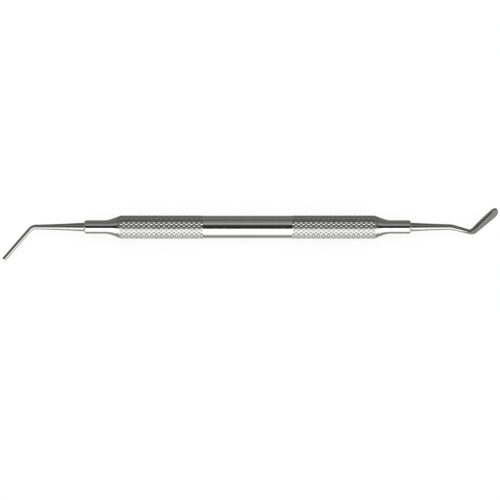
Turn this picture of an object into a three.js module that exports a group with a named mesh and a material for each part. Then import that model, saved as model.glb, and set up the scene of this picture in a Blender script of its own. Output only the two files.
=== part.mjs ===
// Double-ended modelling tool: a knurled, hollow, round handle, a tapered cone closing each end of it,
// and a working tip fixed in each cone. The left tip is a bent round rod with a flat end, the right tip
// is an angled paddle. Everything is turned or formed in polished stainless steel.
//
// The tool is drawn in a plane of its own: +X runs along the handle towards the paddle, +Y is "up" in
// the plane of both bends and +Z is square to that plane. At the end of the file the whole tool is
// rolled about the handle until the handle and the end of the rod lie on one level, as on a table.

import * as THREE from 'three';

// ---------------------------------------------------------------- driving dimensions, in millimetres

// Handle tube
const CREST_RADIUS = 4.0;         // over the crests of the knurl
const KNURL_ROOT_RADIUS = 3.84;
const KNURL_DIAMONDS_AROUND = 21;
const KNURL_DIAMONDS_ALONG = 17;
const BAND_RADIUS = 3.9;          // the plain polished band in the middle
const BAND_HALF_LENGTH = 15.2;
const BAND_EDGE = 0.15;           // the short slope between the band and the first diamonds
const HANDLE_BORE_RADIUS = 3.2;
const SEAM_X = 44.45;             // the tube's end face, just down the taper

// Taper, on the ends of the tube and on both cones
const SHOULDER_X = 43.75;         // where the full diameter ends
const TAPER_ANGLE = THREE.MathUtils.degToRad(20);
const TAPER_ARC_RADIUS = 7.6;     // eases the taper into the neck

// End cones
const NECK_RADIUS = 2.34;
const NECK_END_X = 56.0;
const NECK_CHAMFER = 0.42;
const SPIGOT_LENGTH = 7.0;        // the plug inside the tube
const FIT_GAP = 0.3;              // left between pieces that are pressed and brazed together

// Both tips
const TANG_RADIUS = 1.2;          // the hidden end, inside the cone
const TANG_LENGTH = 15.0;
const FOOT_RADIUS = 1.52;         // where the shank leaves the cone

// Left tip, the bent rod
const ROD_NECK_RADIUS = 0.84;     // the shank just before its bend
const ROD_RADIUS = 0.72;
const ROD_CORNER_X = 74.0;        // where the two centre lines would meet
const ROD_ANGLE = THREE.MathUtils.degToRad(48.9);
const ROD_DROP = 11.2;            // of the rod's end below the handle's axis
const ROD_BEND_RADIUS = 2.8;
const ROD_EDGE_ROUND = 0.14;
const ROD_SHANK_CURVE = 1.4;      // how quickly the shank thins as it leaves the cone

// Right tip, the paddle
const PADDLE_NECK_RADIUS = 0.96;  // where the shank bends down
const PADDLE_HEEL_RADIUS = 0.78;  // where it would meet the blade's centre line
const PADDLE_SHANK_CURVE = 1.3;
const PADDLE_DIP_X = 69.9;        // where the shank bends down
const PADDLE_CORNER = new THREE.Vector2(77.09, -1.88);
const PADDLE_END = new THREE.Vector2(85.67, 6.23);
const PADDLE_DIP_BEND_RADIUS = 5.0;
const PADDLE_BEND_RADIUS = 2.4;
const PADDLE_TURN = THREE.MathUtils.degToRad(35);   // of its flat face about its own centre line
const PADDLE_FORMING_LENGTH = 4.4;  // how far before its corner the shank starts to flatten
const PADDLE_ROOT_HALF_WIDTH = 1.52;
const PADDLE_HALF_WIDTH = 2.26;   // at the start of the rounded end
const PADDLE_DEPTH_RATIO = 0.717; // depth to width of the oval that the two faces cut
const PADDLE_BACK_RATIO = 0.37;   // the ground back face, from the centre line, to the half width
const PADDLE_FRONT_RATIO = 0.36;  // the front face at the blade's root, likewise
const PADDLE_TIP_FRONT_RATIO = 0.03;  // and at its end, where the blade is thinner
const PADDLE_ROUND_END = 2.3;     // length of the rounded end

// Fineness
const AROUND_HANDLE = 2 * KNURL_DIAMONDS_AROUND;
const AROUND_TIP = 20;
const STATION_STEP = 0.8;         // between the sections of a tip

const STEEL = { color: 0xb9bab4, metalness: 1.0 };

// ---------------------------------------------------------------- helpers

// Radius of the taper's outside at a distance from the middle of the handle.
function taperRadius(x) {
  const slope = Math.tan(TAPER_ANGLE);
  const arcTop = NECK_RADIUS + TAPER_ARC_RADIUS * (1 - Math.cos(TAPER_ANGLE));
  const arcStart = SHOULDER_X + (BAND_RADIUS - arcTop) / slope;
  const arcEnd = arcStart + TAPER_ARC_RADIUS * Math.sin(TAPER_ANGLE);
  if (x <= arcStart) return BAND_RADIUS - (x - SHOULDER_X) * slope;
  if (x >= arcEnd) return NECK_RADIUS;
  const across = arcEnd - x;
  return NECK_RADIUS + TAPER_ARC_RADIUS - Math.sqrt(TAPER_ARC_RADIUS ** 2 - across ** 2);
}

// A centre line of straight stretches joined by round bends, in the drawing plane.
function bentLine(points, bendRadii) {
  const path = new THREE.Path();
  path.moveTo(points[0].x, points[0].y);
  for (let i = 1; i < points.length - 1; i += 1) {
    const before = points[i].clone().sub(points[i - 1]).normalize();
    const after = points[i + 1].clone().sub(points[i]).normalize();
    const turn = Math.atan2(before.cross(after), before.dot(after));
    const radius = bendRadii[i - 1];
    const cut = radius * Math.tan(Math.abs(turn) / 2);
    const start = points[i].clone().addScaledVector(before, -cut);
    const side = Math.sign(turn);
    const centre = new THREE.Vector2(start.x - side * radius * before.y, start.y + side * radius * before.x);
    const startAngle = Math.atan2(start.y - centre.y, start.x - centre.x);
    path.lineTo(start.x, start.y);
    path.absarc(centre.x, centre.y, radius, startAngle, startAngle + turn, turn < 0);
  }
  const last = points[points.length - 1];
  path.lineTo(last.x, last.y);
  return path;
}

// Distances from start to end, both included, about STATION_STEP apart.
function evenly(start, end) {
  const steps = Math.max(1, Math.round((end - start) / STATION_STEP));
  return Array.from({ length: steps + 1 }, (_, i) => start + ((end - start) * i) / steps);
}

// A closed solid along a centre line. Each station has its distance along the line, "at", and a
// function, "section", from an angle to (across, over): across is in the drawing plane, to the right of
// the direction of travel, and over is along +Z.
function swept(path, stations) {
  const geometry = new THREE.CylinderGeometry(1, 1, 1, AROUND_TIP, stations.length - 1);
  const length = path.getLength();
  const position = geometry.attributes.position;
  const vertex = new THREE.Vector3();
  for (let i = 0; i < position.count; i += 1) {
    vertex.fromBufferAttribute(position, i);
    const station = stations[Math.round((vertex.y + 0.5) * (stations.length - 1))];
    const along = Math.min(station.at / length, 1);
    const centre = path.getPointAt(along);
    const tangent = path.getTangentAt(along);
    const onRim = Math.hypot(vertex.x, vertex.z) > 0.5;
    const [across, over] = onRim ? station.section(Math.atan2(vertex.z, vertex.x)) : [0, 0];
    position.setXYZ(i, centre.x + across * tangent.y, centre.y - across * tangent.x, over);
  }
  geometry.computeVertexNormals();
  return geometry;
}

function round(radius) {
  return (angle) => [radius * Math.cos(angle), radius * Math.sin(angle)];
}

// An oval turned by PADDLE_TURN and cut by a flat back face and a flat front face.
function paddleSection(halfWidth, halfDepth, back, front) {
  return (angle) => {
    const turned = angle - PADDLE_TURN;
    const depth = THREE.MathUtils.clamp(halfDepth * Math.cos(turned), -front, back);
    const width = halfWidth * Math.sin(turned);
    return [
      depth * Math.cos(PADDLE_TURN) - width * Math.sin(PADDLE_TURN),
      depth * Math.sin(PADDLE_TURN) + width * Math.cos(PADDLE_TURN),
    ];
  };
}

// The tang and its foot: the first stations of either tip.
function tangStations() {
  const footAt = TANG_LENGTH + FIT_GAP;
  return [
    { at: 0, section: round(TANG_RADIUS) },
    { at: footAt, section: round(TANG_RADIUS) },
    { at: footAt, section: round(FOOT_RADIUS) },
  ];
}

// A shank that thins from its foot to a neck radius, quickly at first.
function shankStations(end, neckRadius, curve) {
  const start = TANG_LENGTH + FIT_GAP;
  return evenly(start, end).slice(1).map((at) => {
    const left = (end - at) / (end - start);
    return { at, section: round(neckRadius + (FOOT_RADIUS - neckRadius) * left ** curve) };
  });
}

// ---------------------------------------------------------------- pieces

// A tube with a diamond knurl on both ends. Crests and groove crossings alternate around and along, and
// every groove runs straight from crossing to crossing, so each diamond is a low four-sided pyramid.
function handleTubeGeometry() {
  const knurlStart = BAND_HALF_LENGTH + BAND_EDGE;
  const rows = [];
  const rowCount = 2 * KNURL_DIAMONDS_ALONG;
  for (let j = 0; j <= rowCount; j += 1) {
    const x = SEAM_X + ((knurlStart - SEAM_X) * j) / rowCount;
    const turnedRadius = Math.min(CREST_RADIUS, taperRadius(x));
    rows.push({ x: -x, radii: [turnedRadius, Math.min(KNURL_ROOT_RADIUS, turnedRadius)], shift: j });
  }
  rows.push({ x: -BAND_HALF_LENGTH, radii: [BAND_RADIUS, BAND_RADIUS], shift: 0 });
  const rightHalf = rows.map((row) => ({ ...row, x: -row.x })).reverse();
  const outside = [...rows, ...rightHalf];
  const bore = [SEAM_X, -SEAM_X].map((x) => ({ x, radii: [HANDLE_BORE_RADIUS, HANDLE_BORE_RADIUS], shift: 0 }));
  const rings = [...outside, ...bore];

  const positions = [];
  for (const ring of rings) {
    for (let i = 0; i < AROUND_HANDLE; i += 1) {
      const radius = ring.radii[(i + ring.shift) % 2];
      const angle = (2 * Math.PI * i) / AROUND_HANDLE;
      positions.push(ring.x, radius * Math.cos(angle), radius * Math.sin(angle));
    }
  }
  const indices = [];
  for (let j = 0; j < rings.length; j += 1) {
    const next = (j + 1) % rings.length;
    for (let i = 0; i < AROUND_HANDLE; i += 1) {
      const k = (i + 1) % AROUND_HANDLE;
      const [a, b] = [j * AROUND_HANDLE + i, j * AROUND_HANDLE + k];
      const [c, d] = [next * AROUND_HANDLE + i, next * AROUND_HANDLE + k];
      const crestAtA = (i + rings[j].shift) % 2 === 0;
      if (crestAtA) indices.push(a, b, c, b, d, c);
      else indices.push(a, b, d, a, d, c);
    }
  }
  const geometry = new THREE.BufferGeometry();
  geometry.setAttribute('position', new THREE.Float32BufferAttribute(positions, 3));
  geometry.setIndex(indices);
  geometry.computeVertexNormals();
  return geometry;
}

// A turned plug: the spigot inside the tube, the taper down to the neck, and a bore for the tang.
function endConeGeometry() {
  const face = SEAM_X + FIT_GAP;
  const spigotRadius = HANDLE_BORE_RADIUS - FIT_GAP;
  const boreRadius = TANG_RADIUS + FIT_GAP;
  const neckStart = NECK_END_X - NECK_CHAMFER;
  const taperSteps = 9;
  const profile = [
    [boreRadius, face - SPIGOT_LENGTH],
    [spigotRadius, face - SPIGOT_LENGTH],
    [spigotRadius, face],
  ];
  for (let i = 0; i <= taperSteps; i += 1) {
    const x = face + ((neckStart - face) * i) / taperSteps;
    profile.push([taperRadius(x), x]);
  }
  profile.push([NECK_RADIUS - NECK_CHAMFER, NECK_END_X], [boreRadius, NECK_END_X], profile[0]);
  const points = profile.map(([radius, x]) => new THREE.Vector2(radius, x));
  return new THREE.LatheGeometry(points, AROUND_HANDLE).rotateZ(-Math.PI / 2);
}

// Drawn towards +X, like the paddle: the assembly turns it to the other end of the handle.
function rodTipGeometry() {
  const run = ROD_DROP / Math.tan(ROD_ANGLE);
  const start = new THREE.Vector2(NECK_END_X - TANG_LENGTH, 0);
  const corner = new THREE.Vector2(ROD_CORNER_X, 0);
  const end = new THREE.Vector2(ROD_CORNER_X + run, -ROD_DROP);
  const path = bentLine([start, corner, end], [ROD_BEND_RADIUS]);
  const length = path.getLength();
  const bendCut = ROD_BEND_RADIUS * Math.tan(ROD_ANGLE / 2);
  const bendStart = corner.distanceTo(start) - bendCut;
  const rodStart = length - end.distanceTo(corner) + bendCut;
  const bend = evenly(bendStart, rodStart).slice(1).map((at) => {
    const done = (at - bendStart) / (rodStart - bendStart);
    return { at, section: round(THREE.MathUtils.lerp(ROD_NECK_RADIUS, ROD_RADIUS, done)) };
  });
  return swept(path, [
    ...tangStations(),
    ...shankStations(bendStart, ROD_NECK_RADIUS, ROD_SHANK_CURVE),
    ...bend,
    { at: length - ROD_EDGE_ROUND, section: round(ROD_RADIUS) },
    { at: length, section: round(ROD_RADIUS - ROD_EDGE_ROUND) },
  ]);
}

function paddleTipGeometry() {
  const start = new THREE.Vector2(NECK_END_X - TANG_LENGTH, 0);
  const points = [start, new THREE.Vector2(PADDLE_DIP_X, 0), PADDLE_CORNER, PADDLE_END];
  const path = bentLine(points, [PADDLE_DIP_BEND_RADIUS, PADDLE_BEND_RADIUS]);
  const length = path.getLength();
  const bladeLength = PADDLE_CORNER.distanceTo(PADDLE_END);
  const shankEnd = PADDLE_DIP_X - start.x;
  const cornerAt = length - bladeLength;
  const flattenStart = cornerAt - PADDLE_FORMING_LENGTH;
  const widenStart = cornerAt - PADDLE_BEND_RADIUS / 2;
  const rootAt = cornerAt + PADDLE_BEND_RADIUS / 2;
  const roundStart = length - PADDLE_ROUND_END;

  function neckRadius(at) {
    const alongNeck = THREE.MathUtils.clamp((at - shankEnd) / (cornerAt - shankEnd), 0, 1);
    return THREE.MathUtils.lerp(PADDLE_NECK_RADIUS, PADDLE_HEEL_RADIUS, alongNeck);
  }

  function bladeSection(at) {
    const { clamp, lerp, smoothstep } = THREE.MathUtils;
    const neck = neckRadius(at);
    const cut = smoothstep(at, flattenStart, cornerAt);
    const widened = smoothstep(at, widenStart, rootAt);
    const spread = clamp((at - rootAt) / (roundStart - rootAt), 0, 1);
    const blade = lerp(PADDLE_ROOT_HALF_WIDTH, PADDLE_HALF_WIDTH, spread);
    const frontRatio = lerp(PADDLE_FRONT_RATIO, PADDLE_TIP_FRONT_RATIO, spread);
    const intoEnd = Math.max(0, (at - roundStart) / PADDLE_ROUND_END);
    const closing = Math.sqrt(Math.max(0, 1 - intoEnd ** 2));
    return paddleSection(
      lerp(neck, blade, widened) * closing,
      lerp(neck, blade * PADDLE_DEPTH_RATIO, widened) * closing,
      lerp(neck, blade * PADDLE_BACK_RATIO, cut),
      lerp(neck, blade * frontRatio, cut),
    );
  }

  const dip = evenly(shankEnd, flattenStart).slice(1).map((at) => ({ at, section: round(neckRadius(at)) }));
  const blade = evenly(flattenStart, roundStart).slice(1).map((at) => ({ at, section: bladeSection(at) }));
  const endAngles = [20, 40, 60, 75, 86].map(THREE.MathUtils.degToRad);
  const end = endAngles.map((angle) => {
    const at = roundStart + PADDLE_ROUND_END * Math.sin(angle);
    return { at, section: bladeSection(at) };
  });
  return swept(path, [
    ...tangStations(),
    ...shankStations(shankEnd, PADDLE_NECK_RADIUS, PADDLE_SHANK_CURVE),
    ...dip,
    ...blade,
    ...end,
  ]);
}

// ---------------------------------------------------------------- assembly

function piece(name, geometry, roughness) {
  const mesh = new THREE.Mesh(geometry, new THREE.MeshStandardMaterial({ ...STEEL, roughness }));
  mesh.name = name;
  return mesh;
}

const tool = new THREE.Group();
tool.add(piece('handle_tube', handleTubeGeometry(), 0.22));
tool.add(piece('right_end_cone', endConeGeometry(), 0.14));
tool.add(piece('paddle_tip', paddleTipGeometry(), 0.3));

// The left end is made like the right one and turned half a turn about +Y.
const leftEnd = new THREE.Group();
leftEnd.rotation.y = Math.PI;
leftEnd.add(piece('left_end_cone', endConeGeometry(), 0.14));
leftEnd.add(piece('rod_tip', rodTipGeometry(), 0.16));
tool.add(leftEnd);

// Roll the tool until the rod's end reaches down as far as the handle does.
tool.rotation.x = Math.asin((CREST_RADIUS - ROD_RADIUS) / ROD_DROP);

// The origin is below the middle of the tool, on the table.
const model = new THREE.Group();
model.add(tool);
const box = new THREE.Box3().setFromObject(model, true);
const middle = box.getCenter(new THREE.Vector3());
tool.position.set(-middle.x, -middle.y, -box.min.z);

export default model;
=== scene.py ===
"""The looks of a double-ended modelling tool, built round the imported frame.

Shapes are drawn in millimetres in the tool's own plane: X runs along the handle towards the paddle, Y is
"up" in the plane of both bends and Z is square to it. The tool's matrix takes them to the frame.
"""

from itertools import pairwise
from math import acos, asin, atan2, copysign, cos, pi, radians, sin, sqrt, tan

import bpy
from mathutils import Matrix, Vector


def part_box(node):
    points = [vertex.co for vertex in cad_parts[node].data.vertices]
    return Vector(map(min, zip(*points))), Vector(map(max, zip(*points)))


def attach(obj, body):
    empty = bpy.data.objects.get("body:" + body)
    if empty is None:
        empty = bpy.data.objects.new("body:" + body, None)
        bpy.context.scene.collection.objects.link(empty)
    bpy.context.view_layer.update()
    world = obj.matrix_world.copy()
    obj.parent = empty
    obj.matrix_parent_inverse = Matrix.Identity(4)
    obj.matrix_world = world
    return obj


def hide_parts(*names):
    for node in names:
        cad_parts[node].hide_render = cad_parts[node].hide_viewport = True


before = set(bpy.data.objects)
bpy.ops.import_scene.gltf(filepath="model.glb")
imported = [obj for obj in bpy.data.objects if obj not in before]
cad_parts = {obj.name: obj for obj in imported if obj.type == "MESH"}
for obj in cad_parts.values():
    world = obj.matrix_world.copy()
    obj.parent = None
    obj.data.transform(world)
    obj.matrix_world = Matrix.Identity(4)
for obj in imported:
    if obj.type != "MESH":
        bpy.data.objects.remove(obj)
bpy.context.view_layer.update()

# ---------------------------------------------------------------- driving dimensions, in millimetres

MILLIMETRE = 0.001

# Handle tube
CREST_RADIUS = 4.0
CAD_SIDES = 42                    # the crests stay inside the CAD tube's flats
KNURL_ROOT_RADIUS = 3.84
DIAMONDS_AROUND = 21
DIAMONDS_ALONG = 17
DIAMOND_CELLS = 10                # mesh cells across one diamond, both ways
FIRST_DIAMOND = 0.7               # share of the outermost diamond that the tube's end cuts off
CREST_FLAT = 0.2                  # share of a diamond that its worn, flat top takes up
GROOVE_FLAT = 0.4                 # share of it that the flat grooves round it take up
FLANK_CURVE = 0.75                # how soon its flanks fall away from the top
BAND_RADIUS = 3.9
BAND_HALF_LENGTH = 15.2
BAND_EDGE = 0.15
BORE_RADIUS = 3.2
SEAM_X = 44.45

# Taper and end cones
SHOULDER_X = 43.75
TAPER_ANGLE = radians(20)
TAPER_ARC_RADIUS = 7.6
NECK_RADIUS = 2.34
NECK_END_X = 56.0
NECK_CHAMFER = 0.42
SPIGOT_RADIUS = 2.9
SPIGOT_LENGTH = 7.0
TANG_BORE_RADIUS = 1.5
SEAM_GAP = 0.05                   # the fine joint line between tube and cone
SEAM_EDGE = 0.05                  # the broken edge on each side of it

# Both tips
TANG_RADIUS = 1.2
TANG_LENGTH = 15.0
FOOT_RADIUS = 1.52
FOOT_FILLET = 0.22                # the braze that fills the corner at the neck's face
TIP_GAP = 0.02                    # from the neck's face to the foot
CAD_TIP_SIDES = 20                # the round sections stay inside the CAD tips' flats
END_SETBACK = 0.06                # the smooth tips end this far short of the CAD's faceted ones

# Left tip, the bent rod
ROD_NECK_RADIUS = 0.84
ROD_RADIUS = 0.72
ROD_CORNER_X = 74.0
ROD_ANGLE = radians(48.9)
ROD_DROP = 11.2
ROD_BEND_RADIUS = 2.8
ROD_EDGE_ROUND = 0.14
ROD_SHANK_CURVE = 1.4

# Right tip, the paddle
PADDLE_NECK_RADIUS = 0.96
PADDLE_HEEL_RADIUS = 0.78
PADDLE_SHANK_CURVE = 1.3
PADDLE_DIP_X = 69.9
PADDLE_CORNER = Vector((77.09, -1.88))
PADDLE_END = Vector((85.67, 6.23))
PADDLE_DIP_BEND_RADIUS = 5.0
PADDLE_BEND_RADIUS = 2.4
PADDLE_TURN = radians(35)
PADDLE_FORMING_LENGTH = 4.4
PADDLE_ROOT_HALF_WIDTH = 1.52
PADDLE_HALF_WIDTH = 2.26
PADDLE_DEPTH_RATIO = 0.717
PADDLE_BACK_RATIO = 0.37
PADDLE_FRONT_RATIO = 0.36         # at the blade's root
PADDLE_TIP_FRONT_RATIO = 0.03     # at its end, where the blade is thinner
PADDLE_ROUND_END = 2.3
GROUND_LEAD = 0.6                 # from where the shank starts to flatten to the ground face's point

# Fineness
AROUND_TURNED = 128
AROUND_ROUND_TIP = 48
CONE_STEP = 0.25                  # between the rings of an end cone
PADDLE_FACE_CELLS = 14            # across each flat face of the paddle
PADDLE_SIDE_CELLS = 18            # round each rounded side
RIDGE_CELLS = 6                   # of those, on the polished ridge beside the back face
TIP_STEP = 0.2                    # between the sections of a tip
ROUND_STEPS = 8                   # in a rounded edge

# ---------------------------------------------------------------- where the tool lies

tube_low, tube_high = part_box("handle_tube")
HANDLE_CENTRE = (tube_low + tube_high) / 2
ROLL = asin((CREST_RADIUS - ROD_RADIUS) / ROD_DROP)    # rests on its handle and its rod's end
TOOL = Matrix.Translation(HANDLE_CENTRE) @ Matrix.Rotation(ROLL, 4, "X") @ Matrix.Scale(MILLIMETRE, 4)
LEFT_END = TOOL @ Matrix.Rotation(pi, 4, "Y")

# ---------------------------------------------------------------- lines and sections


def clamp(value, low, high):
    return max(low, min(high, value))


def mix(first, second, share):
    return first + (second - first) * share


def smoothstep(value, start, end):
    share = clamp((value - start) / (end - start), 0, 1)
    return share * share * (3 - 2 * share)


def evenly(start, end, step):
    """Distances from start to end, both included, about a step apart."""
    count = max(1, round((end - start) / step))
    return [mix(start, end, i / count) for i in range(count + 1)]


def on_circle(radius, angle):
    return Vector((radius * cos(angle), radius * sin(angle)))


def taper_radius(x):
    """Radius of the taper's outside at a distance from the middle of the handle."""
    arc_top = NECK_RADIUS + TAPER_ARC_RADIUS * (1 - cos(TAPER_ANGLE))
    arc_start = SHOULDER_X + (BAND_RADIUS - arc_top) / tan(TAPER_ANGLE)
    arc_end = arc_start + TAPER_ARC_RADIUS * sin(TAPER_ANGLE)
    if x <= arc_start:
        return BAND_RADIUS - (x - SHOULDER_X) * tan(TAPER_ANGLE)
    if x >= arc_end:
        return NECK_RADIUS
    return NECK_RADIUS + TAPER_ARC_RADIUS - sqrt(TAPER_ARC_RADIUS**2 - (arc_end - x) ** 2)


class BentLine:
    """Straight stretches joined by round bends, in the drawing plane."""

    def __init__(self, points, bend_radii):
        self.stretches = []
        self.length = 0
        start = points[0]
        headings = [atan2(b.y - a.y, b.x - a.x) for a, b in pairwise(points)]
        bends = zip(points[1:-1], bend_radii, headings, headings[1:])
        for corner, radius, before, after in bends:
            turn = after - before
            cut = radius * tan(abs(turn) / 2)
            bend_start = corner - on_circle(cut, before)
            self._add(start, before, (bend_start - start).length, 0)
            self._add(bend_start, before, radius * abs(turn), copysign(1 / radius, turn))
            start = corner + on_circle(cut, after)
        self._add(start, headings[-1], (points[-1] - start).length, 0)

    def _add(self, start, heading, length, curvature):
        self.stretches.append((self.length, start, heading, curvature))
        self.length += length

    def place(self, at):
        """The centre and the direction of travel at a distance along the line."""
        begins, start, heading, curvature = [s for s in self.stretches if s[0] <= at][-1]
        along = at - begins
        turned = heading + curvature * along
        if curvature == 0:
            return start + on_circle(along, heading), on_circle(1, turned)
        step = Vector((sin(turned) - sin(heading), cos(heading) - cos(turned))) / curvature
        return start + step, on_circle(1, turned)


# ---------------------------------------------------------------- meshes


def skin(rings, loop):
    """Vertices and faces of a closed skin over rings of points. Its ends are joined up in a loop, or each is
    closed with a fan round its middle."""
    around = len(rings[0])
    vertices = [point for ring in rings for point in ring]
    ring_starts = [around * i for i in range(len(rings))]
    spans = list(pairwise(ring_starts))
    if loop:
        spans.append((ring_starts[-1], ring_starts[0]))
    faces = []
    for a, b in spans:
        faces += [(a + i, a + (i + 1) % around, b + (i + 1) % around, b + i) for i in range(around)]
    if not loop:
        for start, ring, flip in ((0, rings[0], True), (ring_starts[-1], rings[-1], False)):
            middle = len(vertices)
            vertices.append(sum(ring, Vector((0, 0, 0))) / around)
            for i in range(around):
                pair = (start + i, start + (i + 1) % around)
                faces.append((*(reversed(pair) if flip else pair), middle))
    return vertices, faces


def piece(name, node, matrix, skinned, material, sharp_angle):
    """A mesh object in the frame that stands for a CAD node, with edges past the sharp angle kept crisp."""
    vertices, faces = skinned
    mesh = bpy.data.meshes.new(name)
    mesh.from_pydata(vertices, [], faces)
    mesh.transform(matrix)
    mesh.shade_smooth()
    mesh.set_sharp_from_angle(angle=sharp_angle)
    mesh.materials.append(material)
    made = bpy.data.objects.new(name, mesh)
    bpy.context.scene.collection.objects.link(made)
    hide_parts(node)
    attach(made, "root")
    return made


def turned_ring(x, radius):
    angles = (2 * pi * i / AROUND_TURNED for i in range(AROUND_TURNED))
    return [Vector((x, radius * cos(angle), radius * sin(angle))) for angle in angles]


def swept_rings(line, stations):
    """Rings of points along a line. Each station has its distance along the line and a closed section of
    (across, over): across is in the drawing plane, to the right of the direction of travel, over is Z."""
    rings = []
    for at, section in stations:
        centre, travel = line.place(min(at, line.length))
        right = Vector((travel.y, -travel.x))
        rings.append([Vector((*(centre + across * right), over)) for across, over in section])
    return rings


# ---------------------------------------------------------------- handle tube


def knurl_depth(around, along):
    """Depth below the crests, from 0 to 1, of a diamond knurl. Both places are counted in diamonds."""
    first = 2 * abs((around + along + 0.5) % 1 - 0.5)
    second = 2 * abs((around - along + 0.5) % 1 - 0.5)
    return clamp((max(first, second) - CREST_FLAT) / (1 - CREST_FLAT - GROOVE_FLAT), 0, 1) ** FLANK_CURVE


def tube_ring(x, knurled_share, depths):
    """One ring of the tube's outside; a knurled ring also adds its groove depths."""
    crest = CREST_RADIUS * cos(pi / CAD_SIDES)
    pitch = (SEAM_X - BAND_HALF_LENGTH - BAND_EDGE) / DIAMONDS_ALONG
    along = (SEAM_X - abs(x)) / pitch + FIRST_DIAMOND
    around_count = DIAMONDS_AROUND * DIAMOND_CELLS
    ring = []
    for i in range(around_count):
        depth = knurl_depth(i / DIAMOND_CELLS, along)
        knurled = mix(crest, KNURL_ROOT_RADIUS, depth)
        radius = min(mix(BAND_RADIUS, knurled, knurled_share), taper_radius(abs(x)))
        angle = 2 * pi * i / around_count
        ring.append(Vector((x, radius * cos(angle), radius * sin(angle))))
        depths.append(depth * knurled_share)
    return ring


def split_along_creases(faces, depths):
    """Cuts each face across the corners whose depths are more alike, so that the creases run straight."""
    halves = []
    for a, b, c, d in faces:
        if abs(depths[a] - depths[c]) <= abs(depths[b] - depths[d]):
            halves += [(a, b, c), (a, c, d)]
        else:
            halves += [(a, b, d), (b, c, d)]
    return halves


def handle_tube():
    knurl_start = BAND_HALF_LENGTH + BAND_EDGE
    knurl_rows = evenly(SEAM_X, knurl_start, (knurl_start - SEAM_X) / (DIAMONDS_ALONG * DIAMOND_CELLS))
    depths = []
    left = [tube_ring(-x, 1, depths) for x in knurl_rows]
    band = [tube_ring(x, 0, depths) for x in evenly(-BAND_HALF_LENGTH, BAND_HALF_LENGTH, 1)]
    right = [tube_ring(x, 1, depths) for x in reversed(knurl_rows)]
    outside = left + band + right
    around_count = len(outside[0])
    bore = []
    for x in (SEAM_X, -SEAM_X):
        angles = (2 * pi * i / around_count for i in range(around_count))
        bore.append([Vector((x, BORE_RADIUS * cos(angle), BORE_RADIUS * sin(angle))) for angle in angles])
        depths += [0] * around_count
    vertices, faces = skin(outside + bore, True)
    skinned = vertices, split_along_creases(faces, depths)
    made = piece("knurled_handle", "handle_tube", TOOL, skinned, knurled_steel(), radians(16))
    groove = made.data.attributes.new("groove", "FLOAT", "POINT")
    groove.data.foreach_set("value", depths)


# ---------------------------------------------------------------- end cones


def end_cone_profile():
    """(x, radius) round the cone's section, from the spigot's inner end along the outside."""
    face = SEAM_X + SEAM_GAP
    inner_end = SEAM_X - SPIGOT_LENGTH
    profile = [(inner_end, TANG_BORE_RADIUS), (inner_end, SPIGOT_RADIUS), (face, SPIGOT_RADIUS)]
    profile.append((face, taper_radius(face) - SEAM_EDGE))
    neck_start = NECK_END_X - NECK_CHAMFER
    for x in evenly(face + SEAM_EDGE, neck_start, CONE_STEP):
        profile.append((x, taper_radius(x)))
    chamfer_radius = NECK_RADIUS - NECK_CHAMFER
    profile += [(NECK_END_X, chamfer_radius), (NECK_END_X, TANG_BORE_RADIUS)]
    return profile


def end_cone(name, node, matrix):
    rings = [turned_ring(x, radius) for x, radius in end_cone_profile()]
    material = polished_steel(name + "_steel", HANDLE_TONE, turned=True)
    piece(name, node, matrix, skin(rings, True), material, radians(25))


# ---------------------------------------------------------------- tips


def round_section(radius):
    inside = radius * cos(pi / CAD_TIP_SIDES)
    return [on_circle(inside, 2 * pi * i / AROUND_ROUND_TIP) for i in range(AROUND_ROUND_TIP)]


def shank_radius(at, end, neck_radius, curve):
    """A shank thins from its foot to a neck radius, quickly at first. Braze fills the corner at its foot."""
    start = TANG_LENGTH + TIP_GAP
    left = clamp((end - at) / (end - start), 0, 1)
    fillet = FOOT_FILLET * (1 - sqrt(1 - (1 - clamp((at - start) / FOOT_FILLET, 0, 1)) ** 2))
    return neck_radius + (FOOT_RADIUS - neck_radius) * left**curve + fillet


def shank_places(end):
    start = TANG_LENGTH + TIP_GAP
    fillet_end = start + FOOT_FILLET
    return evenly(start, fillet_end, FOOT_FILLET / ROUND_STEPS) + evenly(fillet_end, end, TIP_STEP)[1:]


def set_back(corner, end):
    """The end of a line from corner to end, moved back by END_SETBACK."""
    return end + (corner - end).normalized() * END_SETBACK


def rod_tip():
    run = ROD_DROP / tan(ROD_ANGLE)
    start = Vector((NECK_END_X - TANG_LENGTH, 0))
    corner = Vector((ROD_CORNER_X, 0))
    end = Vector((ROD_CORNER_X + run, -ROD_DROP))
    line = BentLine([start, corner, set_back(corner, end)], [ROD_BEND_RADIUS])
    bend_start = line.stretches[1][0]
    bend_end = line.stretches[2][0]
    stations = [(0, round_section(TANG_RADIUS)), (TANG_LENGTH + TIP_GAP, round_section(TANG_RADIUS))]
    for at in shank_places(bend_start):
        radius = shank_radius(at, bend_start, ROD_NECK_RADIUS, ROD_SHANK_CURVE)
        stations.append((at, round_section(radius)))
    for at in evenly(bend_start, line.length - ROD_EDGE_ROUND, TIP_STEP)[1:]:
        share = clamp((at - bend_start) / (bend_end - bend_start), 0, 1)
        stations.append((at, round_section(mix(ROD_NECK_RADIUS, ROD_RADIUS, share))))
    for i in range(1, ROUND_STEPS + 1):
        angle = pi / 2 * i / ROUND_STEPS
        at = line.length - ROD_EDGE_ROUND * (1 - sin(angle))
        stations.append((at, round_section(ROD_RADIUS - ROD_EDGE_ROUND * (1 - cos(angle)))))
    skinned = skin(swept_rings(line, stations), False)
    material = polished_steel("rod_steel", TIP_TONE, turned=False)
    piece("bent_rod", "rod_tip", LEFT_END, skinned, material, radians(40))


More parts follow.
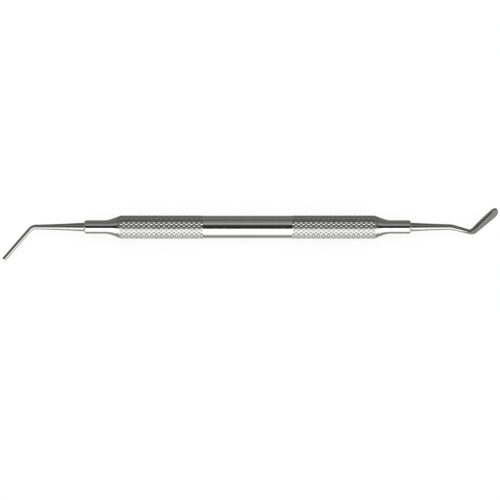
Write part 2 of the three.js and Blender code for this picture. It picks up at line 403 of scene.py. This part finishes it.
def cut_oval(half_width, half_depth, back, front):
    """An oval turned by PADDLE_TURN and cut by a flat back face and a flat front face, with points on all
    four edges. The points of the back face come first."""
    least = radians(4)
    back_edge = max(acos(min(1, back / half_depth)), least)
    front_edge = max(acos(min(1, front / half_depth)), least)
    corners = [-back_edge, back_edge, pi - front_edge, pi + front_edge, 2 * pi - back_edge]
    cells = [PADDLE_FACE_CELLS, PADDLE_SIDE_CELLS, PADDLE_FACE_CELLS, PADDLE_SIDE_CELLS]
    section = []
    for (start, end), count in zip(pairwise(corners), cells):
        for i in range(count):
            angle = mix(start, end, i / count)
            depth = clamp(half_depth * cos(angle), -front, back)
            width = half_width * sin(angle)
            section.append(Matrix.Rotation(PADDLE_TURN, 2) @ Vector((depth, width)))
    return section


def paddle_tip():
    start = Vector((NECK_END_X - TANG_LENGTH, 0))
    end = set_back(PADDLE_CORNER, PADDLE_END)
    points = [start, Vector((PADDLE_DIP_X, 0)), PADDLE_CORNER, end]
    line = BentLine(points, [PADDLE_DIP_BEND_RADIUS, PADDLE_BEND_RADIUS])
    blade_length = (end - PADDLE_CORNER).length
    shank_end = PADDLE_DIP_X - start.x
    corner_at = line.length - blade_length
    flatten_start = corner_at - PADDLE_FORMING_LENGTH
    root_at = corner_at + PADDLE_BEND_RADIUS / 2
    round_start = line.length - PADDLE_ROUND_END
    inside = cos(pi / CAD_TIP_SIDES)

    def blade_section(at, closing):
        cut = smoothstep(at, flatten_start, corner_at)
        widened = smoothstep(at, corner_at - PADDLE_BEND_RADIUS / 2, root_at)
        along_neck = clamp((at - shank_end) / (corner_at - shank_end), 0, 1)
        neck = mix(PADDLE_NECK_RADIUS, PADDLE_HEEL_RADIUS, along_neck)
        spread = clamp((at - root_at) / (round_start - root_at), 0, 1)
        blade = mix(PADDLE_ROOT_HALF_WIDTH, PADDLE_HALF_WIDTH, spread)
        front_ratio = mix(PADDLE_FRONT_RATIO, PADDLE_TIP_FRONT_RATIO, spread)
        return cut_oval(
            inside * mix(neck, blade, widened) * closing,
            inside * mix(neck, blade * PADDLE_DEPTH_RATIO, widened) * closing,
            mix(neck, blade * PADDLE_BACK_RATIO, cut),
            mix(neck, blade * front_ratio, cut),
        )

    def shank_section(radius):
        inner = radius * inside
        return cut_oval(inner, inner, radius, radius)

    stations = [(0, shank_section(TANG_RADIUS)), (TANG_LENGTH + TIP_GAP, shank_section(TANG_RADIUS))]
    for at in shank_places(shank_end):
        radius = shank_radius(at, shank_end, PADDLE_NECK_RADIUS, PADDLE_SHANK_CURVE)
        stations.append((at, shank_section(radius)))
    for at in evenly(shank_end, round_start, TIP_STEP)[1:]:
        stations.append((at, blade_section(at, 1)))
    for i in range(1, 2 * ROUND_STEPS):
        angle = pi / 2 * i / (2 * ROUND_STEPS)
        stations.append((round_start + PADDLE_ROUND_END * sin(angle), blade_section(line.length, cos(angle))))
    skinned = skin(swept_rings(line, stations), False)
    material = polished_steel("shank_steel", TIP_TONE, turned=False)
    made = piece("paddle", "paddle_tip", TOOL, skinned, material, radians(20))
    made.data.materials.append(ground_steel())
    around = 2 * (PADDLE_FACE_CELLS + PADDLE_SIDE_CELLS)
    face_from = sum(1 for at, _ in stations if at <= flatten_start + GROUND_LEAD)
    blade_from = sum(1 for at, _ in stations if at <= root_at)
    end_from = sum(1 for at, _ in stations if at <= round_start)
    for face in made.data.polygons:
        ring, column = divmod(face.index, around)
        on_back = ring >= face_from and column < PADDLE_FACE_CELLS
        on_ridge = PADDLE_FACE_CELLS <= column < PADDLE_FACE_CELLS + RIDGE_CELLS
        if on_back or ring >= end_from or (ring >= blade_from and not on_ridge):
            face.material_index = 1


# ---------------------------------------------------------------- materials

STEEL_DARK = Vector((0.64, 0.645, 0.61))
STEEL_LIGHT = Vector((0.72, 0.725, 0.685))
HANDLE_TONE = 1.0
GROOVE_PAINTED_SHADE = 0.7                 # painted shade: the colour in the bottom of the knurl's grooves is darkened
TIP_TONE = 0.68                   # the tips are of a darker steel
POLISH_BUMP = 0.0000015           # metres
GRINDING_BUMP = 0.000012


class Nodes:
    """A node tree being filled in."""

    def __init__(self, owner):
        owner.use_nodes = True
        self.tree = owner.node_tree
        self.tree.nodes.clear()

    def add(self, kind, settings=None, **inputs):
        """A node with its settings, and its inputs set to a value or linked to a socket."""
        node = self.tree.nodes.new(kind)
        for name, value in (settings or {}).items():
            setattr(node, name, value)
        for name, value in inputs.items():
            socket = node.inputs[int(name[1:])] if name[1:].isdigit() else node.inputs[name.replace("_", " ")]
            if isinstance(value, bpy.types.NodeSocket):
                self.tree.links.new(value, socket)
            else:
                socket.default_value = value
        return node

    def maths(self, operation, first, second=0.0):
        return self.add("ShaderNodeMath", {"operation": operation}, i0=first, i1=second).outputs[0]

    def vector_maths(self, operation, **inputs):
        return self.add("ShaderNodeVectorMath", {"operation": operation}, **inputs)

    def remap(self, value, from_low, from_high, to_low, to_high):
        inputs = {"From_Min": from_low, "From_Max": from_high, "To_Min": to_low, "To_Max": to_high}
        return self.add("ShaderNodeMapRange", Value=value, **inputs).outputs["Result"]

    def noise(self, vector, scale, detail=2.0, roughness=0.5):
        inputs = {"Scale": scale, "Detail": detail, "Roughness": roughness}
        return self.add("ShaderNodeTexNoise", Vector=vector, **inputs).outputs["Fac"]

    def stretched(self, vector, scale):
        return self.add("ShaderNodeMapping", Vector=vector, Scale=scale).outputs["Vector"]


def finish_steel(nodes, tones, shade, roughness, height, bump_distance):
    """Joins a steel's shade, roughness and height to its shader. Shade runs from 0, the darker tone, to 1."""
    ramp = nodes.add("ShaderNodeValToRGB", Fac=shade)
    ramp.color_ramp.elements[0].color = (*(STEEL_DARK * tones[0]), 1)
    ramp.color_ramp.elements[1].color = (*(STEEL_LIGHT * tones[1]), 1)
    bump = nodes.add("ShaderNodeBump", Distance=bump_distance, Height=height)
    shader = nodes.add(
        "ShaderNodeBsdfPrincipled",
        Base_Color=ramp.outputs["Color"], Metallic=1.0, Roughness=roughness, Normal=bump.outputs["Normal"],
    )
    nodes.add("ShaderNodeOutputMaterial", Surface=shader.outputs["BSDF"])


def polish_roughness(nodes, smudges, lines):
    smudged = nodes.remap(smudges, 0.3, 0.75, 0.06, 0.13)
    lined = nodes.remap(lines, 0.3, 0.8, 0, 0.04)
    return nodes.maths("ADD", smudged, lined)


def polished_steel(name, tone, turned):
    """Bright steel with hair-fine polishing lines, round a turned piece or along a drawn one, and smudges."""
    material = bpy.data.materials.new(name)
    nodes = Nodes(material)
    place = nodes.add("ShaderNodeTexCoord").outputs["Object"]
    line_scale = (9000, 400, 400) if turned else (700, 5000, 5000)
    lines = nodes.noise(nodes.stretched(place, line_scale), 1.0, detail=3.0)
    smudges = nodes.noise(place, 420.0, detail=4.0, roughness=0.6)
    grain = nodes.noise(place, 14000.0)
    roughness = polish_roughness(nodes, smudges, lines)
    height = nodes.maths("ADD", lines, nodes.maths("MULTIPLY", grain, 0.3))
    shade = nodes.maths("MULTIPLY", smudges, lines)
    finish_steel(nodes, (tone, tone), shade, roughness, height, POLISH_BUMP)
    return material


def knurled_steel():
    """Bright steel that is worn smooth on its crests and dull in its grooves, with painted shade darkening
    the grooves.
    """
    material = bpy.data.materials.new("knurled_steel")
    nodes = Nodes(material)
    place = nodes.add("ShaderNodeTexCoord").outputs["Object"]
    groove = nodes.add("ShaderNodeAttribute", {"attribute_name": "groove"}).outputs["Fac"]
    lines = nodes.noise(nodes.stretched(place, (9000, 400, 400)), 1.0, detail=3.0)
    smudges = nodes.noise(place, 420.0, detail=4.0, roughness=0.6)
    grain = nodes.noise(place, 9000.0, detail=4.0)
    grain_roughness = nodes.remap(grain, 0.3, 0.7, 0.1, 0.24)
    dullness = nodes.maths("MULTIPLY", nodes.maths("POWER", groove, 2.0), grain_roughness)
    roughness = nodes.maths("ADD", polish_roughness(nodes, smudges, lines), dullness)
    crest_shade = nodes.remap(smudges, 0.3, 0.7, 0.9, 1.0)
    # painted shade: the deeper in a groove, the darker the colour
    shade = nodes.maths("SUBTRACT", crest_shade, nodes.maths("MULTIPLY", groove, 0.85))
    groove_grain = nodes.maths("MULTIPLY", grain, nodes.maths("MULTIPLY", groove, 2.0))
    height = nodes.maths("ADD", lines, groove_grain)
    # the groove end of the colour ramp is darkened as painted shade
    finish_steel(nodes, (GROOVE_PAINTED_SHADE, HANDLE_TONE), shade, roughness, height, POLISH_BUMP)
    return material


def ground_steel():
    """Satin steel, ground across the paddle, with lines of uneven depth."""
    material = bpy.data.materials.new("ground_steel")
    nodes = Nodes(material)
    place = nodes.add("ShaderNodeTexCoord").outputs["Object"]
    along = TOOL.to_3x3().normalized() @ Vector((*(PADDLE_END - PADDLE_CORNER), 0)).normalized()
    distance = nodes.vector_maths("DOT_PRODUCT", i0=place, i1=along).outputs["Value"]
    across_lines = nodes.add("ShaderNodeCombineXYZ", X=distance).outputs["Vector"]
    wander = nodes.vector_maths("SCALE", i0=place, i3=0.06).outputs["Vector"]
    line_place = nodes.vector_maths("ADD", i0=across_lines, i1=wander).outputs["Vector"]
    lines = nodes.noise(line_place, 9000.0, detail=3.0, roughness=0.7)
    broad = nodes.noise(line_place, 1500.0, detail=2.0)
    roughness = nodes.remap(lines, 0.25, 0.75, 0.3, 0.45)
    height = nodes.maths("ADD", lines, broad)
    finish_steel(nodes, (TIP_TONE, TIP_TONE), broad, roughness, height, GRINDING_BUMP)
    return material


# ---------------------------------------------------------------- studio

CAMERA_LENS = 110.0
CAMERA_SENSOR = 36.0
VIEW_WIDTH = 171.7                # of the tool's plane, across the picture
VIEW_CENTRE = Vector((0.82, -7.9, 0))
FLOOR_HALF_SIZE = 2.0             # metres
FLOOR_GLOW = 0.82                 # a lit table top: it glows evenly, and takes a faint shadow
FLOOR_SHADE = 0.2
PLAIN_LIGHT = 1.0

# Brightness of the light tent by the angle from straight up, round the handle's axis, in degrees. Positive
# angles are behind the tool, negative ones in front of it.
TENT = [
    (-180, 0.75),
    (-152, 0.52),
    (-130, 0.23),
    (-114, 0.5),
    (-100, 1.12),
    (-88, 2.1),
    (-40, 2.3),
    (-37.5, 0.03),
    (1, 0.03),
    (5, 0.3),
    (10, 0.5),
    (19, 0.45),
    (30, 0.275),
    (41, 0.215),
    (53, 0.17),
    (66, 0.11),
    (80, 0.32),
    (96, 0.12),
    (118, 0.24),
    (180, 0.75),
]


def light_tent():
    """A tent that the steel mirrors as soft bands along the handle. Everything else sees plain white."""
    world = bpy.data.worlds.new("light_tent")
    bpy.context.scene.world = world
    nodes = Nodes(world)
    place = nodes.add("ShaderNodeTexCoord").outputs["Generated"]
    direction = nodes.add("ShaderNodeSeparateXYZ", Vector=place)
    angle = nodes.maths("ARCTAN2", direction.outputs["Y"], direction.outputs["Z"])
    ramp = nodes.add("ShaderNodeValToRGB", Fac=nodes.remap(angle, -pi, pi, 0, 1))
    bands = ramp.color_ramp.elements
    while len(bands) < len(TENT):
        bands.new(0.5)
    brightest = max(brightness for _, brightness in TENT)
    for band, (degrees, brightness) in zip(bands, TENT):
        band.position = (degrees + 180) / 360
        band.color = (*[brightness / brightest] * 3, 1)
    mirrored = nodes.add("ShaderNodeBackground", Color=ramp.outputs["Color"], Strength=brightest)
    plain = nodes.add("ShaderNodeBackground", Color=(1, 1, 1, 1), Strength=PLAIN_LIGHT)
    glossy_ray = nodes.add("ShaderNodeLightPath").outputs["Is Glossy Ray"]
    plain_light = plain.outputs["Background"]
    mirrored_light = mirrored.outputs["Background"]
    sky = nodes.add("ShaderNodeMixShader", i0=glossy_ray, i1=plain_light, i2=mirrored_light)
    nodes.add("ShaderNodeOutputWorld", Surface=sky.outputs["Shader"])


def pale_floor():
    mesh = bpy.data.meshes.new("floor")
    corners = [(-1, -1), (1, -1), (1, 1), (-1, 1)]
    mesh.from_pydata([(x * FLOOR_HALF_SIZE, y * FLOOR_HALF_SIZE, 0) for x, y in corners], [], [(0, 1, 2, 3)])
    material = bpy.data.materials.new("floor_white")
    nodes = Nodes(material)
    glow = nodes.add("ShaderNodeEmission", Color=(1, 1, 1, 1), Strength=FLOOR_GLOW)
    matt = nodes.add("ShaderNodeBsdfDiffuse", Color=(*[FLOOR_SHADE] * 3, 1))
    both = nodes.add("ShaderNodeAddShader", i0=glow.outputs["Emission"], i1=matt.outputs["BSDF"])
    nodes.add("ShaderNodeOutputMaterial", Surface=both.outputs["Shader"])
    mesh.materials.append(material)
    floor = bpy.data.objects.new("floor", mesh)
    floor.visible_glossy = False
    bpy.context.scene.collection.objects.link(floor)


def camera():
    """Looks square at the tool's own plane, from far enough to flatten it a little."""
    data = bpy.data.cameras.new("camera")
    data.lens = CAMERA_LENS
    data.sensor_width = CAMERA_SENSOR
    data.clip_start = 0.01
    made = bpy.data.objects.new("camera", data)
    distance = VIEW_WIDTH * CAMERA_LENS / CAMERA_SENSOR
    place = TOOL @ (VIEW_CENTRE + Vector((0, 0, distance)))
    made.matrix_world = Matrix.Translation(place) @ Matrix.Rotation(ROLL, 4, "X")
    bpy.context.scene.collection.objects.link(made)
    bpy.context.scene.camera = made


# ---------------------------------------------------------------- the scene

handle_tube()
end_cone("left_cone", "left_end_cone", LEFT_END)
end_cone("right_cone", "right_end_cone", TOOL)
rod_tip()
paddle_tip()
light_tent()
pale_floor()
camera()
bpy.context.scene.view_settings.view_transform = "Standard"
